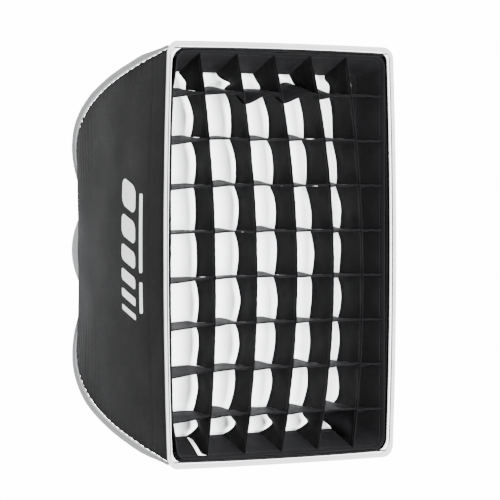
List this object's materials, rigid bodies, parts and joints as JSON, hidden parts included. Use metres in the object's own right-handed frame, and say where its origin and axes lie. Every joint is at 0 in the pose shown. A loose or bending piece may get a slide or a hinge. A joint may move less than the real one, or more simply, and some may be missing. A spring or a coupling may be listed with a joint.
{
  "type": "strip softbox",
  "caption": "Rectangular strip softbox with bowed corner rods, cloth shell, white front diffuser, lift-off egg-crate grid and a speedring that turns on a three-lug bayonet.",
  "frame": {"origin": "centre of the bayonet's seat plane, on the box's optical axis", "axes": "+Y back through the bayonet towards the lamp, so the open front faces -Y; +Z along the long side; +X along the short side"},
  "size_m": [0.319, 0.356, 0.462],
  "materials": {
    "shell_cloth": "charcoal woven polyester, lightly coated, soft sheen; silver lining inside",
    "binding_tape": "light grey ribbed binding tape, folded and stitched",
    "diffuser_cloth": "white translucent ripstop nylon",
    "grid_cloth": "matt black woven nylon",
    "strap_web": "black elastic webbing",
    "rod_steel": "drawn spring steel",
    "pin_steel": "bright zinc plate",
    "ring_alloy": "cast aluminium, silver, fine bead blast",
    "bayonet_alloy": "machined, clear anodised",
    "socket_alloy": "turned aluminium, satin",
    "knob_plastic": "moulded black, fine texture",
    "pad_brass": "turned brass",
    "cap_plastic": "moulded black"
  },
  "bodies": {
    "bayonet": {"bayonet_adapter": "bayonet_alloy", "adapter_retaining_ring": "bayonet_alloy"},
    "box": {"speedring": "ring_alloy", "socket_pin_top_left": "pin_steel", "socket_pin_top_right": "pin_steel", "socket_pin_bottom_left": "pin_steel", "socket_pin_bottom_right": "pin_steel", "rod_top_left": "rod_steel", "rod_top_right": "rod_steel", "rod_bottom_left": "rod_steel", "rod_bottom_right": "rod_steel", "rod_tip_cap_top_left": "cap_plastic", "rod_tip_cap_top_right": "cap_plastic", "rod_tip_cap_bottom_left": "cap_plastic", "rod_tip_cap_bottom_right": "cap_plastic", "shell_panel_left": "shell_cloth", "shell_panel_right": "shell_cloth", "shell_panel_top": "shell_cloth", "shell_panel_bottom": "shell_cloth", "seam_binding_top_left": "binding_tape", "seam_binding_top_right": "binding_tape", "seam_binding_bottom_left": "binding_tape", "seam_binding_bottom_right": "binding_tape", "rim_binding_left": "binding_tape", "rim_binding_right": "binding_tape", "rim_binding_top": "binding_tape", "rim_binding_bottom": "binding_tape", "rear_binding": "binding_tape", "front_diffuser": "diffuser_cloth", "inner_baffle": "diffuser_cloth", "baffle_strap_top_left": "strap_web", "baffle_strap_top_right": "strap_web", "baffle_strap_bottom_left": "strap_web", "baffle_strap_bottom_right": "strap_web"},
    "lock_pad": {"lock_pad": "pad_brass"},
    "lock_knob": {"lock_screw": "pin_steel", "lock_knob": "knob_plastic"},
    "grid": {"grid_band_left": "grid_cloth", "grid_band_right": "grid_cloth", "grid_band_top": "grid_cloth", "grid_band_bottom": "grid_cloth", "grid_long_strip_1": "grid_cloth", "grid_long_strip_2": "grid_cloth", "grid_long_strip_3": "grid_cloth", "grid_long_strip_4": "grid_cloth", "grid_long_strip_5": "grid_cloth", "grid_cross_strip_1": "grid_cloth", "grid_cross_strip_2": "grid_cloth", "grid_cross_strip_3": "grid_cloth", "grid_cross_strip_4": "grid_cloth", "grid_cross_strip_5": "grid_cloth", "grid_cross_strip_6": "grid_cloth", "grid_cross_strip_7": "grid_cloth", "grid_cross_strip_8": "grid_cloth"},
    "socket_top_left": {"rod_socket_top_left": "socket_alloy"},
    "socket_top_right": {"rod_socket_top_right": "socket_alloy"},
    "socket_bottom_left": {"rod_socket_bottom_left": "socket_alloy"},
    "socket_bottom_right": {"rod_socket_bottom_right": "socket_alloy"}
  },
  "joints": [
    {"name": "box_rotation", "type": "hinge", "parent": "bayonet", "child": "box", "pos_m": [0, 0, 0], "axis": [0, 1, 0], "continuous": true},
    {"name": "lock_pad_slide", "type": "slide", "parent": "box", "child": "lock_pad", "axis": [1, 0, 0], "range_m": [0, 0.0014]},
    {"name": "lock_knob_turn", "type": "hinge", "parent": "lock_pad", "child": "lock_knob", "pos_m": [0.047, -0.005, 0], "axis": [1, 0, 0], "range_deg": [0, 720]},
    {"name": "rod_swing_top_left", "type": "hinge", "parent": "box", "child": "socket_top_left", "pos_m": [-0.0299, -0.0217, 0.04437], "axis": [0.8293, 0, 0.5588], "range_deg": [0, 10], "stiffness_Nm_per_rad": 0.02, "springref_deg": -5.73, "deforming": ["rod_top_left"]},
    {"name": "rod_swing_top_right", "type": "hinge", "parent": "box", "child": "socket_top_right", "pos_m": [0.0299, -0.0217, 0.04437], "axis": [0.8293, 0, -0.5588], "range_deg": [0, 10], "stiffness_Nm_per_rad": 0.02, "springref_deg": -5.73, "deforming": ["rod_top_right"]},
    {"name": "rod_swing_bottom_left", "type": "hinge", "parent": "box", "child": "socket_bottom_left", "pos_m": [-0.0299, -0.0217, -0.04437], "axis": [-0.8293, 0, 0.5588], "range_deg": [0, 10], "stiffness_Nm_per_rad": 0.02, "springref_deg": -5.73, "deforming": ["rod_bottom_left"]},
    {"name": "rod_swing_bottom_right", "type": "hinge", "parent": "box", "child": "socket_bottom_right", "pos_m": [0.0299, -0.0217, -0.04437], "axis": [-0.8293, 0, -0.5588], "range_deg": [0, 10], "stiffness_Nm_per_rad": 0.02, "springref_deg": -5.73, "deforming": ["rod_bottom_right"]},
    {"name": "grid_lift_off", "type": "slide", "parent": "box", "child": "grid", "axis": [0, -1, 0], "range_m": [0, 0.06]}
  ],
  "couplings": [
    {"joint": "lock_knob_turn", "follows": "lock_pad_slide", "rad_per_m": 8975.9}
  ]
}
